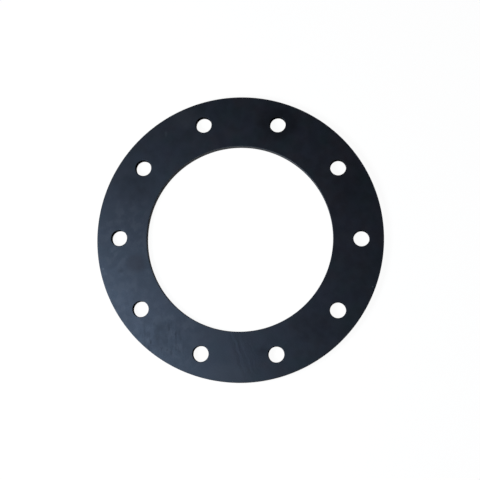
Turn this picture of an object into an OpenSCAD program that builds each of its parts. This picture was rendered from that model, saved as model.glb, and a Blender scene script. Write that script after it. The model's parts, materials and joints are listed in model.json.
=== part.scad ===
// Fuel sump gasket: a flat rubber ring that seals a tank sump flange against the part bolted under it.
// Millimetres. The origin is the centre of the bore on the lower face, and +Z runs up along the bore axis.

/* [Ring] */
// Diameter of the circle that the bolt holes lie on, taken from the flange
pitch_d = 207; // [160:0.5:300]
// Width of rubber from the bolt circle in to the bore
inner_land = 24; // [12:0.5:40]
// Width of rubber from the bolt circle out to the rim
outer_land = 19; // [12:0.5:40]
// Thickness of the rubber sheet
thickness = 8; // [3:0.5:12]

/* [Bolt holes] */
// Number of holes, evenly spaced, with the first one on the X axis
hole_count = 10; // [4:1:16]
// Diameter of each hole
hole_d = 13.5; // [8:0.5:20]

/* [Cut edges] */
// Radius of the rounding that cutting leaves along every edge
edge_r = 0.4; // [0.2:0.1:1]

/* [Hidden] */
// The one piece of the part, and the piece to draw

// Radii that follow from the bolt circle and the two lands
pitch_r = pitch_d / 2;
bore_r = pitch_r - inner_land;
rim_r = pitch_r + outer_land;
hole_r = hole_d / 2;

// How far a cutter runs past the face that it opens
past = 1;

rubber = [0.12, 0.14, 0.17];

$fn = 180;

// A flat strip's cross-section, from the bore to the rim, with its four corners rounded
module ring_section() {
    for (x = [bore_r + edge_r, rim_r - edge_r], y = [edge_r, thickness - edge_r])
        translate([x, y])
            circle(r = edge_r);
    translate([bore_r + edge_r, 0])
        square([rim_r - bore_r - 2 * edge_r, thickness]);
    translate([bore_r, edge_r])
        square([rim_r - bore_r, thickness - 2 * edge_r]);
}

// Half of a hole's cross-section at one face: it widens along a quarter round until it lies flush with the face
module hole_mouth_section() {
    difference() {
        translate([0, -past])
            square([hole_r + edge_r, edge_r + past]);
        translate([hole_r + edge_r, edge_r])
            circle(r = edge_r);
    }
}

// The space of one bolt hole, with a rounded mouth at each face
module hole_space() {
    rotate_extrude()
        hole_mouth_section();
    translate([0, 0, thickness])
        mirror([0, 0, 1])
            rotate_extrude()
                hole_mouth_section();
    cylinder(r = hole_r, h = thickness);
}

// The gasket: the ring with its bolt holes cut through
module gasket() {
    color(rubber)
        difference() {
            rotate_extrude()
                ring_section();
            for (i = [0 : hole_count - 1])
                rotate([0, 0, i * 360 / hole_count])
                    translate([pitch_r, 0, 0])
                        hole_space();
        }
}

gasket();
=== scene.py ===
"""Looks of a fuel sump gasket: a ring of black rubber sheet that lies on a pale floor."""
import json
import math

import bmesh
import bpy
from mathutils import Matrix, Vector, noise


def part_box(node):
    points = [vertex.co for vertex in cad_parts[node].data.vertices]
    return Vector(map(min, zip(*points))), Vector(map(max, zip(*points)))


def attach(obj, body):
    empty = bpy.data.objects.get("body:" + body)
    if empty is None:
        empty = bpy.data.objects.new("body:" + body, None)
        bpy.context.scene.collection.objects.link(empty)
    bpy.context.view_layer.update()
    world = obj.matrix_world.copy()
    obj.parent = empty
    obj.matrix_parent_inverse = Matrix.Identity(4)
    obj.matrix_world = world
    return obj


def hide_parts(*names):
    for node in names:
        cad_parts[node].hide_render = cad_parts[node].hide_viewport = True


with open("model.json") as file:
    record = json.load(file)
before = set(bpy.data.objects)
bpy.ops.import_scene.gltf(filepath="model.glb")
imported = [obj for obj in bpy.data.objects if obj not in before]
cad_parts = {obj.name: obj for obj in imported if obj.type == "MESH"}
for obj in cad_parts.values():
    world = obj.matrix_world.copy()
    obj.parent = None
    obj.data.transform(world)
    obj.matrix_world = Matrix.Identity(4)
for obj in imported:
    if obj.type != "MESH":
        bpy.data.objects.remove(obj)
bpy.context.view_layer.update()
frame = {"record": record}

# One millimetre, in metres
MM = 0.001

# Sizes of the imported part, in metres

mounts = {mount["name"]: mount for mount in frame["record"]["mounts"]}
bolt_dims = mounts["bolt_holes"]["dims"]
bore_dims = mounts["bore"]["dims"]
ring_low, ring_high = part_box("gasket")
thickness = ring_high.z - ring_low.z
rim_r = ring_high.x
bore_r = bore_dims["r_mm"] * MM
pitch_r = bolt_dims["pcd_mm"] / 2 * MM
hole_r = bolt_dims["hole_r_mm"] * MM
hole_count = bolt_dims["count"]
# The bore's straight wall leaves out the rounded edge at each face
edge_r = (thickness - bore_dims["length_mm"] * MM) / 2

# The ring's mesh

# Faces along each part of a sector's outline, and from its hole out to that outline
RIM_STEPS = 44
SIDE_STEPS = 18
BORE_STEPS = 32
FACE_RINGS = 14
# Faces round each rounded edge, and down each straight wall
ROUND_STEPS = 5
WALL_STEPS = 4
# Unevenness of the rolled sheet: how high it gets, how wide a swell is, and which slice of noise makes it
SWELL_HEIGHT = 0.06 * MM
SWELL_WIDTH = 38 * MM
SWELL_SLICE = 3.7
# A face that leans more than this belongs to a cut wall: at the rim and the bore, and in the holes
CUT_LEAN = math.radians(40)
PUNCHED_LEAN = math.radians(12)
# Places in the ring's list of materials: rolled faces, walls of the rim and the bore, walls of the holes (a
# darker copy of the rubber, as painted shade)
ROLLED = 0
CUT = 1
PUNCHED = 2
# Points closer than this become one
MERGE = 0.001 * MM


def polar(radius, angle, height=0.0):
    """A point given by its distance from the bore's axis, its angle from the X axis and its height."""
    return Vector((radius * math.cos(angle), radius * math.sin(angle), height))


def hole_angle(number):
    """The angle of a bolt hole, counted round from 0 on the X axis."""
    return 2 * math.pi * number / hole_count


def sector_outline():
    """Outline of one hole's sector of the face, anticlockwise, with the hole on the X axis."""
    half = hole_angle(1) / 2
    outer = rim_r - edge_r
    inner = bore_r + edge_r
    points = []
    for i in range(RIM_STEPS):
        points.append(polar(outer, half * (2 * i / RIM_STEPS - 1)))
    for i in range(SIDE_STEPS):
        points.append(polar(outer + (inner - outer) * i / SIDE_STEPS, half))
    for i in range(BORE_STEPS):
        points.append(polar(inner, half * (1 - 2 * i / BORE_STEPS)))
    for i in range(SIDE_STEPS):
        points.append(polar(inner + (outer - inner) * i / SIDE_STEPS, -half))
    return points


def edge_profile():
    """Rows from the upper face down a cut wall to the lower face: (inset from the wall, height)."""
    upper = []
    for i in range(ROUND_STEPS + 1):
        turn = math.pi / 2 * i / ROUND_STEPS
        upper.append((edge_r * (1 - math.sin(turn)), thickness - edge_r * (1 - math.cos(turn))))
    lower = [(inset, thickness - height) for inset, height in reversed(upper)]
    top = upper[-1][1]
    bottom = lower[0][1]
    wall = [(0.0, top + (bottom - top) * i / WALL_STEPS) for i in range(1, WALL_STEPS)]
    return upper + wall + lower


def swell(point):
    """How far the sheet's unevenness lifts a point: fully on the upper face, not at all on the lower one."""
    height = noise.noise(Vector((point.x / SWELL_WIDTH, point.y / SWELL_WIDTH, SWELL_SLICE)))
    return SWELL_HEIGHT * height * point.z / thickness


def add_strip(draft, rows, closed):
    """Faces between rows of equally many points. In a closed strip each row runs back to its first point."""
    made = [[draft.verts.new(point) for point in row] for row in rows]
    for row, below in zip(made, made[1:]):
        count = len(row)
        for i in range(count if closed else count - 1):
            j = (i + 1) % count
            draft.faces.new((row[i], row[j], below[j], below[i]))


def face_rows(outline, height):
    """Rings of points from a hole's mouth out to its sector's outline, close together at both ends."""
    centre = polar(pitch_r, 0)
    mouth = [centre + (point - centre).normalized() * (hole_r + edge_r) for point in outline]
    lift = Vector((0, 0, height))
    rows = []
    for ring_number in range(FACE_RINGS + 1):
        share = 0.5 - 0.5 * math.cos(math.pi * ring_number / FACE_RINGS)
        rows.append([start.lerp(end, share) + lift for start, end in zip(mouth, outline)])
    return rows


def sector_strips():
    """The strips of one sector, with its hole on the X axis: (rows, whether each row closes on itself)."""
    outline = sector_outline()
    centre = polar(pitch_r, 0)
    spokes = [(point - centre).normalized() for point in outline]
    angles = [math.atan2(point.y, point.x) for point in outline]
    rim_angles = angles[:RIM_STEPS + 1]
    bore_start = RIM_STEPS + SIDE_STEPS
    bore_angles = angles[bore_start:bore_start + BORE_STEPS + 1]
    hole_wall = []
    rim_wall = []
    bore_wall = []
    for inset, height in edge_profile():
        lift = Vector((0, 0, height))
        hole_wall.append([centre + spoke * (hole_r + inset) + lift for spoke in spokes])
        rim_wall.append([polar(rim_r - inset, angle, height) for angle in rim_angles])
        bore_wall.append([polar(bore_r + inset, angle, height) for angle in bore_angles])
    return [
        (face_rows(outline, thickness), True),
        (face_rows(outline, 0.0), True),
        (hole_wall, True),
        (rim_wall, False),
        (bore_wall, False),
    ]


def surface_of(face):
    """Which of the ring's materials a face of its mesh takes."""
    lean = math.acos(min(1.0, abs(face.normal.z)))
    from_pitch = abs(face.calc_center_median().to_2d().length - pitch_r)
    if from_pitch < hole_r + edge_r:
        return PUNCHED if lean > PUNCHED_LEAN else ROLLED
    return CUT if lean > CUT_LEAN else ROLLED


def join_strips(draft):
    """Closes the seams between strips and turns all faces outwards."""
    bmesh.ops.remove_doubles(draft, verts=draft.verts, dist=MERGE)
    bmesh.ops.recalc_face_normals(draft, faces=draft.faces)


def finished_object(draft, name):
    """Puts a drafted mesh into the scene as an object."""
    mesh = bpy.data.meshes.new(name)
    draft.to_mesh(mesh)
    draft.free()
    made = bpy.data.objects.new(name, mesh)
    bpy.context.scene.collection.objects.link(made)
    return made


def build_ring():
    """The gasket as one closed mesh, with the upper face a little uneven."""
    draft = bmesh.new()
    strips = sector_strips()
    for sector in range(hole_count):
        turn = Matrix.Rotation(hole_angle(sector), 3, "Z")
        for rows, closed in strips:
            add_strip(draft, [[turn @ point for point in row] for row in rows], closed)
    join_strips(draft)
    for face in draft.faces:
        face.smooth = True
        face.material_index = surface_of(face)
    for vert in draft.verts:
        vert.co.z += swell(vert.co)
    return finished_object(draft, "gasket_ring")


# Shader nodes

# The middle of a noise's values, which run from 0 to 1
NOISE_MIDDLE = 0.5
# How much of an oval mark's half size it covers in full, before it fades out
OVAL_CORE = 0.3


def even(number):
    """The same number for X, Y and Z."""
    return (number, number, number)


def add_node(tree, kind, **settings):
    """A new shader node with some of its settings changed."""
    node = tree.nodes.new(kind)
    for name, value in settings.items():
        setattr(node, name, value)
    return node


def feed(tree, socket, value):
    """Links a socket to another node's output, or sets its value."""
    if isinstance(value, bpy.types.NodeSocket):
        tree.links.new(value, socket)
    else:
        socket.default_value = value


def calc(tree, operation, first, second):
    """A sum, product or the like of two values."""
    node = add_node(tree, "ShaderNodeMath", operation=operation)
    feed(tree, node.inputs[0], first)
    feed(tree, node.inputs[1], second)
    return node.outputs[0]


def strongest(tree, values):
    """The largest of several values at each place."""
    most = values[0]
    for value in values[1:]:
        most = calc(tree, "MAXIMUM", most, value)
    return most


def remap(tree, value, low, high, to_low=0.0, to_high=1.0):
    """A value between low and high moved smoothly to between to_low and to_high, and held at those."""
    node = add_node(tree, "ShaderNodeMapRange", interpolation_type="SMOOTHSTEP")
    feed(tree, node.inputs["Value"], value)
    feed(tree, node.inputs["From Min"], low)
    feed(tree, node.inputs["From Max"], high)
    feed(tree, node.inputs["To Min"], to_low)
    feed(tree, node.inputs["To Max"], to_high)
    return node.outputs["Result"]


def blend(tree, share, under, over):
    """The colour under where share is 0, and the colour over where it is 1."""
    node = add_node(tree, "ShaderNodeMix", data_type="RGBA")
    sockets = {socket.identifier: socket for socket in node.inputs}
    feed(tree, sockets["Factor_Float"], share)
    feed(tree, sockets["A_Color"], under)
    feed(tree, sockets["B_Color"], over)
    return next(socket for socket in node.outputs if socket.identifier == "Result_Color")


def clouds(tree, place, size, detail, turn=0.0):
    """Soft noise from 0 to 1. size is how wide its blobs are along X, Y and Z, before a turn about Z."""
    mapping = add_node(tree, "ShaderNodeMapping", vector_type="TEXTURE")
    mapping.inputs["Rotation"].default_value = (0, 0, turn)
    mapping.inputs["Scale"].default_value = size
    feed(tree, mapping.inputs["Vector"], place)
    texture = add_node(tree, "ShaderNodeTexNoise")
    texture.inputs["Scale"].default_value = 1.0
    texture.inputs["Detail"].default_value = detail
    feed(tree, texture.inputs["Vector"], mapping.outputs["Vector"])
    return texture.outputs["Fac"]


def shaken(tree, place, size, reach):
    """A place moved about by noise, so that what is drawn there gets a ragged edge."""
    texture = add_node(tree, "ShaderNodeTexNoise")
    texture.inputs["Scale"].default_value = 1 / size
    feed(tree, texture.inputs["Vector"], place)
    centred = add_node(tree, "ShaderNodeVectorMath", operation="SUBTRACT")
    feed(tree, centred.inputs[0], texture.outputs["Color"])
    centred.inputs[1].default_value = even(NOISE_MIDDLE)
    moved = add_node(tree, "ShaderNodeVectorMath", operation="MULTIPLY_ADD")
    feed(tree, moved.inputs[0], centred.outputs["Vector"])
    moved.inputs[1].default_value = (reach, reach, 0)
    feed(tree, moved.inputs[2], place)
    return moved.outputs["Vector"]


def oval(tree, place, middle, half_size, turn=0.0):
    """1 in the core of an oval on the upper face, fading to 0 at its edge and half-way down the sheet."""
    mapping = add_node(tree, "ShaderNodeMapping", vector_type="TEXTURE")
    mapping.inputs["Location"].default_value = (*middle, thickness)
    mapping.inputs["Rotation"].default_value = (0, 0, turn)
    mapping.inputs["Scale"].default_value = (*half_size, thickness / 2)
    feed(tree, mapping.inputs["Vector"], place)
    length = add_node(tree, "ShaderNodeVectorMath", operation="LENGTH")
    feed(tree, length.inputs[0], mapping.outputs["Vector"])
    return remap(tree, length.outputs["Value"], 1.0, OVAL_CORE)


def ovals(tree, place, marks):
    """How strongly a list of oval marks covers each place, from 0 to 1."""
    shares = []
    for middle, half_size, strength in marks:
        shares.append(calc(tree, "MULTIPLY", oval(tree, place, middle, half_size), strength))
    return strongest(tree, shares)


def bumps(tree, height, depth, normal=None):
    """A normal from a height between 0 and 1, with depth as its real height, on top of another normal."""
    node = add_node(tree, "ShaderNodeBump")
    node.inputs["Distance"].default_value = depth
    feed(tree, node.inputs["Height"], height)
    if normal:
        feed(tree, node.inputs["Normal"], normal)
    return node.outputs["Normal"]


def new_material(name):
    """A fresh Principled material, its node tree, its shader and the object's own coordinates."""
    material = bpy.data.materials.new(name)
    material.use_nodes = True
    tree = material.node_tree
    place = add_node(tree, "ShaderNodeTexCoord").outputs["Object"]
    return material, tree, tree.nodes["Principled BSDF"], place


# The rolled faces

# Three tints of black that drift into each other, and what lies on them
FACE_WARM = (0.0096, 0.0056, 0.0062, 1)
FACE_COOL = (0.0043, 0.0062, 0.0058, 1)
FACE_VIOLET = (0.0068, 0.0054, 0.0098, 1)
FACE_GRIME = (0.0036, 0.0020, 0.0020, 1)
# A pale colour for dust, also used for the patches of painted sheen
FACE_DUST_AND_SHEEN = (0.0160, 0.0150, 0.0170, 1)
FACE_STAIN = (0.0080, 0.0045, 0.0040, 1)
FACE_SPECK = (0.045, 0.050, 0.055, 1)
# How strong the sheen is, and its tint
FACE_SPECULAR = 0.56
FACE_SHEEN = (0.53, 0.71, 1.0, 1)
# How rough the clean face is, and how far that varies
FACE_ROUGH = 0.445
ROUGH_SPREAD = 0.055
# What a full stain, smudge or scuff adds to that, and what full grease and full polish take off
DULLED_ROUGH = 0.11
GREASE_SMOOTH = 0.06
POLISH_SMOOTH = 0.045
# How deep the grain and the creases are
GRAIN_DEPTH = 0.006 * MM
CREASE_DEPTH = 0.06 * MM
# The middle and half size of the oval that the creases lie in, and their turn from the Y axis
CREASED_MIDDLE = (3 * MM, -98 * MM)
CREASED_HALF = (15 * MM, 32 * MM)
CREASE_TURN = math.radians(21)

# The bolt hole with grease round it, counted round from 0 on the X axis
GREASY_HOLE = 2
# Marks on the upper face, of handling and of painted sheen: the middle and half size of each, and how strong
# it is
GREASE = [
    (polar(pitch_r, hole_angle(GREASY_HOLE)).to_2d(), (24 * MM, 21 * MM), 1.0),
    ((-90 * MM, 44 * MM), (26 * MM, 20 * MM), 0.8),
    ((21 * MM, -98 * MM), (8 * MM, 9 * MM), 0.8),
    ((60 * MM, -75 * MM), (24 * MM, 18 * MM), 0.5),
    ((93 * MM, 44 * MM), (22 * MM, 22 * MM), 0.4),
]
STAINS = [((-88 * MM, -22 * MM), (12 * MM, 12 * MM), 1.0)]
SMUDGES = [
    ((-102 * MM, -29 * MM), (4.5 * MM, 3.5 * MM), 0.7),
    ((-66 * MM, -83 * MM), (10 * MM, 20 * MM), 0.7),
]
# Painted sheen: two patches of lighter colour that carry the lamp's sheen on along the bottom of the rim and
# near the rim at the upper left
PAINTED_SHEEN = [
    ((-47 * MM, 105 * MM), (18 * MM, 13 * MM), 0.8),
    ((-9 * MM, -115 * MM), (30 * MM, 13 * MM), 0.8),
]
SPECKS = [
    ((-116.8 * MM, -26.5 * MM), (1.1 * MM, 1.1 * MM), 1.0),
    ((-64.6 * MM, 90.7 * MM), (1.7 * MM, 3.8 * MM), 0.22),
    ((112.8 * MM, -41 * MM), (0.9 * MM, 0.9 * MM), 1.0),
]
# Ovals with marks made by noise: streaks of scuffed and polished rubber, and patches of dust and wiped rubber
SCUFFED = [
    ((-62 * MM, -86 * MM), (31 * MM, 27 * MM), 1.0),
    ((-105 * MM, 20 * MM), (17 * MM, 30 * MM), 0.45),
]
DUSTY = [
    ((-98 * MM, -25 * MM), (42 * MM, 100 * MM), 1.0),
    ((-60 * MM, -84 * MM), (52 * MM, 46 * MM), 1.0),
]
# Ragged edges of the marks: how wide each tooth is, and how far the teeth reach
RAGGED_SIZE = 8 * MM
RAGGED_REACH = 7 * MM

# Noise: how wide its blobs are along X, Y and Z, how finely it breaks up, and its turn about Z in radians
COOL_NOISE = {"size": even(17 * MM), "detail": 3.0}
VIOLET_NOISE = {"size": even(15 * MM), "detail": 3.0, "turn": 0.6}
BLOTCH_NOISE = {"size": even(19 * MM), "detail": 1.5, "turn": 1.0}
SCUFF_NOISE = {"size": (2.4 * MM, 6.5 * MM, 6.5 * MM), "detail": 2.0}
DUST_NOISE = {"size": even(6.5 * MM), "detail": 2.0, "turn": 1.7}
ROUGH_NOISE = {"size": even(8 * MM), "detail": 2.0, "turn": 2.0}
GRAIN_NOISE = {"size": even(0.9 * MM), "detail": 3.0}
CREASE_NOISE = {"size": (3.4 * MM, 36 * MM, 36 * MM), "detail": 1.0, "turn": CREASE_TURN}
# Where in its noise each look starts, and where it is full
COOL_RANGE = (0.3, 0.7)
VIOLET_RANGE = (0.35, 0.7)
BLOTCH_RANGE = (0.4, 0.75)
SCUFF_RANGE = (0.48, 0.7)
POLISH_RANGE = (0.48, 0.3)
DUST_RANGE = (0.5, 0.62)
WIPED_RANGE = (0.5, 0.38)
ROUGH_RANGE = (0.3, 0.7)
# The most that the violet tint and the blotches cover
VIOLET_SHARE = 0.7
BLOTCH_SHARE = 0.4


def face_marks(tree, place, ragged):
    """How strongly each kind of mark covers each place on the upper face."""
    scuffed = ovals(tree, ragged, SCUFFED)
    streaks = clouds(tree, place, **SCUFF_NOISE)
    dusty = ovals(tree, ragged, DUSTY)
    patches = clouds(tree, place, **DUST_NOISE)
    dust_patches = calc(tree, "MULTIPLY", dusty, remap(tree, patches, *DUST_RANGE))
    return {
        "grease": ovals(tree, ragged, GREASE),
        "stains": ovals(tree, ragged, STAINS),
        "smudges": ovals(tree, ragged, SMUDGES),
        "specks": ovals(tree, place, SPECKS),
        "scuffs": calc(tree, "MULTIPLY", scuffed, remap(tree, streaks, *SCUFF_RANGE)),
        "polish": calc(tree, "MULTIPLY", scuffed, remap(tree, streaks, *POLISH_RANGE)),
        # Dust patches and the patches of painted sheen, in one mask
        "dust_and_sheen": strongest(tree, [dust_patches, ovals(tree, ragged, PAINTED_SHEEN)]),
        "wiped": calc(tree, "MULTIPLY", dusty, remap(tree, patches, *WIPED_RANGE)),
    }


def face_colour(tree, place, marks):
    """The drifting tints of black, with the marks and the patches of painted sheen over them."""
    cool = remap(tree, clouds(tree, place, **COOL_NOISE), *COOL_RANGE)
    violet = remap(tree, clouds(tree, place, **VIOLET_NOISE), *VIOLET_RANGE, to_high=VIOLET_SHARE)
    blotch = remap(tree, clouds(tree, place, **BLOTCH_NOISE), *BLOTCH_RANGE, to_high=BLOTCH_SHARE)
    grime = strongest(tree, [blotch, marks["wiped"], marks["grease"], marks["smudges"], marks["scuffs"]])
    colour = blend(tree, cool, FACE_WARM, FACE_COOL)
    colour = blend(tree, violet, colour, FACE_VIOLET)
    # Dust, and painted sheen where the sheen patches lie
    colour = blend(tree, marks["dust_and_sheen"], colour, FACE_DUST_AND_SHEEN)
    colour = blend(tree, grime, colour, FACE_GRIME)
    colour = blend(tree, marks["stains"], colour, FACE_STAIN)
    return blend(tree, marks["specks"], colour, FACE_SPECK)


def face_roughness(tree, place, marks):
    """How rough the face is: duller where it is marked, glossier where it is greasy or polished."""
    least = FACE_ROUGH - ROUGH_SPREAD / 2
    most = FACE_ROUGH + ROUGH_SPREAD / 2
    rough = remap(tree, clouds(tree, place, **ROUGH_NOISE), *ROUGH_RANGE, least, most)
    dulled = strongest(tree, [marks["stains"], marks["smudges"], marks["scuffs"]])
    rough = calc(tree, "ADD", rough, calc(tree, "MULTIPLY", dulled, DULLED_ROUGH))
    rough = calc(tree, "SUBTRACT", rough, calc(tree, "MULTIPLY", marks["grease"], GREASE_SMOOTH))
    return calc(tree, "SUBTRACT", rough, calc(tree, "MULTIPLY", marks["polish"], POLISH_SMOOTH))


def face_normal(tree, place, ragged):
    """Fine grain all over, and a few shallow creases in one place."""
    grain = bumps(tree, clouds(tree, place, **GRAIN_NOISE), GRAIN_DEPTH)
    creased = oval(tree, place, CREASED_MIDDLE, CREASED_HALF, CREASE_TURN)
    creases = calc(tree, "MULTIPLY", clouds(tree, ragged, **CREASE_NOISE), creased)
    return bumps(tree, creases, CREASE_DEPTH, grain)


def rubber_face():
    """The sheet's rolled faces: smooth black rubber with a soft cool sheen, marks of handling and two patches
    of painted sheen.
    """
    material, tree, shader, place = new_material("rubber_face")
    ragged = shaken(tree, place, RAGGED_SIZE, RAGGED_REACH)
    marks = face_marks(tree, place, ragged)
    feed(tree, shader.inputs["Base Color"], face_colour(tree, place, marks))
    feed(tree, shader.inputs["Roughness"], face_roughness(tree, place, marks))
    feed(tree, shader.inputs["Normal"], face_normal(tree, place, ragged))
    shader.inputs["Specular IOR Level"].default_value = FACE_SPECULAR
    shader.inputs["Specular Tint"].default_value = FACE_SHEEN
    return material


# The cut walls

# Walls of the rim and the bore, with a knife's lines round them. Their colour is partly the cut rubber's own
# grey and partly painted light, made lighter so that the lit band at the top of the bore comes out bright
CUT_WALL = {
    "dark": (0.076, 0.077, 0.082, 1),
    "light": (0.130, 0.132, 0.138, 1),
    "specular": 0.05,
    "line_size": (30 * MM, 30 * MM, 0.7 * MM),
}
# Walls of the holes, with a punch's lines down them. Their colour is painted shade: the same rubber made far
# darker, so that the slivers of wall seen in the holes stay black
PUNCHED_WALL_SHADED = {
    "dark": (0.009, 0.009, 0.010, 1),
    "light": (0.022, 0.022, 0.024, 1),
    "specular": 0.0,
    "line_size": (0.5 * MM, 0.5 * MM, 12 * MM),
}
# How wide the softer patches on a wall are, how finely they and the lines break up, and how deep a line is
WALL_PATCH_SIZE = even(7 * MM)
WALL_DETAIL = 3.0
WALL_LINE_DEPTH = 0.03 * MM
# Where the mean of lines and patches turns from dark to light, and where the lines turn from smooth to rough
WALL_LIGHT_RANGE = (0.36, 0.64)
WALL_ROUGH_RANGE = (0.3, 0.7)
WALL_SMOOTHEST = 0.72
WALL_ROUGHEST = 0.88


def rubber_wall(name, dark, light, specular, line_size):
    """A wall that a cutter left: dull, with fine lines the way the cutter went and softer patches."""
    material, tree, shader, place = new_material(name)
    lines = clouds(tree, place, line_size, WALL_DETAIL)
    patches = clouds(tree, place, WALL_PATCH_SIZE, WALL_DETAIL)
    mean = calc(tree, "MULTIPLY", calc(tree, "ADD", lines, patches), 0.5)
    colour = blend(tree, remap(tree, mean, *WALL_LIGHT_RANGE), dark, light)
    rough = remap(tree, lines, *WALL_ROUGH_RANGE, WALL_SMOOTHEST, WALL_ROUGHEST)
    feed(tree, shader.inputs["Base Color"], colour)
    feed(tree, shader.inputs["Roughness"], rough)
    feed(tree, shader.inputs["Normal"], bumps(tree, lines, WALL_LINE_DEPTH))
    shader.inputs["Specular IOR Level"].default_value = specular
    return material


# The gasket, with its materials in the order that ROLLED, CUT and PUNCHED give

ring = build_ring()
ring.data.materials.append(rubber_face())
ring.data.materials.append(rubber_wall("rubber_cut", **CUT_WALL))
# The holes' walls take the darker copy of the rubber, which is painted shade
ring.data.materials.append(rubber_wall("rubber_punched_shaded", **PUNCHED_WALL_SHADED))
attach(ring, "root")
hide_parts("gasket")

# The stage

# How far the floor lies below the ring, so that the two don't flicker
FLOOR_GAP = 0.05 * MM
# The floor, and the wall that it curves up into, in metres
FLOOR_RADIUS = 2.6
COVE_RADIUS = 0.8
COVE_TOP = 1.8
COVE_STEPS = 12
STAGE_SIDES = 96
# How white the floor looks by itself, and how much of the light and shadow on it shows on top of that
FLOOR_GLOW = 0.955
FLOOR_SHARE = (0.08, 0.08, 0.08, 1)
# The floor's colour to light that bounces off it
FLOOR_PAINT = (0.3, 0.3, 0.3, 1)


def build_stage():
    """A pale floor that curves up into a wall all round, with no corner to see."""
    profile = [(0.0, 0.0), (FLOOR_RADIUS, 0.0)]
    for i in range(1, COVE_STEPS + 1):
        turn = math.pi / 2 * i / COVE_STEPS
        profile.append((FLOOR_RADIUS + COVE_RADIUS * math.sin(turn), COVE_RADIUS * (1 - math.cos(turn))))
    profile.append((FLOOR_RADIUS + COVE_RADIUS, COVE_TOP))
    angles = [2 * math.pi * i / STAGE_SIDES for i in range(STAGE_SIDES)]
    rows = [[polar(radius, angle, height - FLOOR_GAP) for angle in angles] for radius, height in profile]
    draft = bmesh.new()
    add_strip(draft, rows, True)
    join_strips(draft)
    return finished_object(draft, "floor")


def stage_material():
    """White to the camera and in reflections, with the ring's shadow; plain paint to all other light."""
    material = bpy.data.materials.new("floor_white")
    material.use_nodes = True
    tree = material.node_tree
    tree.nodes.clear()
    path = add_node(tree, "ShaderNodeLightPath").outputs
    seen = strongest(tree, [path["Is Camera Ray"], path["Is Glossy Ray"], path["Is Transmission Ray"]])
    paint = add_node(tree, "ShaderNodeBsdfDiffuse")
    paint.inputs["Color"].default_value = FLOOR_PAINT
    glow = add_node(tree, "ShaderNodeEmission")
    glow.inputs["Strength"].default_value = FLOOR_GLOW
    shadow = add_node(tree, "ShaderNodeBsdfDiffuse")
    shadow.inputs["Color"].default_value = FLOOR_SHARE
    white = add_node(tree, "ShaderNodeAddShader")
    feed(tree, white.inputs[0], glow.outputs[0])
    feed(tree, white.inputs[1], shadow.outputs[0])
    choice = add_node(tree, "ShaderNodeMixShader")
    feed(tree, choice.inputs[0], seen)
    feed(tree, choice.inputs[1], paint.outputs[0])
    feed(tree, choice.inputs[2], white.outputs[0])
    output = add_node(tree, "ShaderNodeOutputMaterial")
    feed(tree, output.inputs["Surface"], choice.outputs[0])
    return material


floor = build_stage()
floor.data.materials.append(stage_material())

# The light

scene = bpy.context.scene
scene.view_settings.view_transform = "Standard"

# Strength and colour of the even light of the room
ROOM_LIGHT = 0.06
ROOM_COLOUR = (1, 1, 1, 1)
# Where the lamp stands: its angle round the ring, how far out and how high, in metres
LAMP_TURN = math.radians(203)
LAMP_OUT = 0.357
LAMP_HEIGHT = 0.542
# Its side in metres, its strength and its colour
LAMP_SIZE = 0.25
LAMP_WATTS = 3.9
LAMP_COLOUR = (0.88, 0.94, 1.0)


def point_back(piece, place, back, up):
    """Puts a lamp or camera at a place, looking away from back, with up as the top of its picture."""
    right = up.cross(back).normalized()
    facing = Matrix((right, back.cross(right), back)).transposed()
    piece.matrix_world = Matrix.Translation(place) @ facing.to_4x4()


def add_world():
    """A dim even room."""
    world = bpy.data.worlds.new("room")
    world.use_nodes = True
    background = world.node_tree.nodes["Background"]
    background.inputs["Color"].default_value = ROOM_COLOUR
    background.inputs["Strength"].default_value = ROOM_LIGHT
    scene.world = world


def add_lamp():
    """A square soft lamp to the left of the ring, aimed at its middle."""
    data = bpy.data.lights.new("lamp", "AREA")
    data.shape = "SQUARE"
    data.size = LAMP_SIZE
    data.energy = LAMP_WATTS
    data.color = LAMP_COLOUR
    lamp = bpy.data.objects.new("lamp", data)
    place = polar(LAMP_OUT, LAMP_TURN, LAMP_HEIGHT)
    point_back(lamp, place, place.normalized(), Vector((0, 0, 1)))
    scene.collection.objects.link(lamp)


add_world()
add_lamp()

# The camera

# What it looks at, which way from there it stands and how far off, in metres
CAMERA_AIM = Vector((0.48 * MM, -1.57 * MM, thickness))
CAMERA_LEAN = Vector((0.0774, -0.1209, 1))
CAMERA_DISTANCE = 1.1
# How far the top of its picture is turned from the Y axis
CAMERA_TURN = math.radians(0.57)
# Its focal length and sensor in millimetres, and the nearest and furthest that it sees in metres
CAMERA_LENS = 96.91
CAMERA_SENSOR = 36.0
CAMERA_NEAR = 0.01
CAMERA_FAR = 20.0


def add_camera():
    """A camera nearly straight above the ring, over the lower right of its picture."""
    data = bpy.data.cameras.new("camera")
    data.lens = CAMERA_LENS
    data.sensor_width = CAMERA_SENSOR
    data.clip_start = CAMERA_NEAR
    data.clip_end = CAMERA_FAR
    camera = bpy.data.objects.new("camera", data)
    back = CAMERA_LEAN.normalized()
    up = Vector((-math.sin(CAMERA_TURN), math.cos(CAMERA_TURN), 0))
    point_back(camera, CAMERA_AIM + back * CAMERA_DISTANCE, back, up)
    scene.collection.objects.link(camera)
    scene.camera = camera


add_camera()
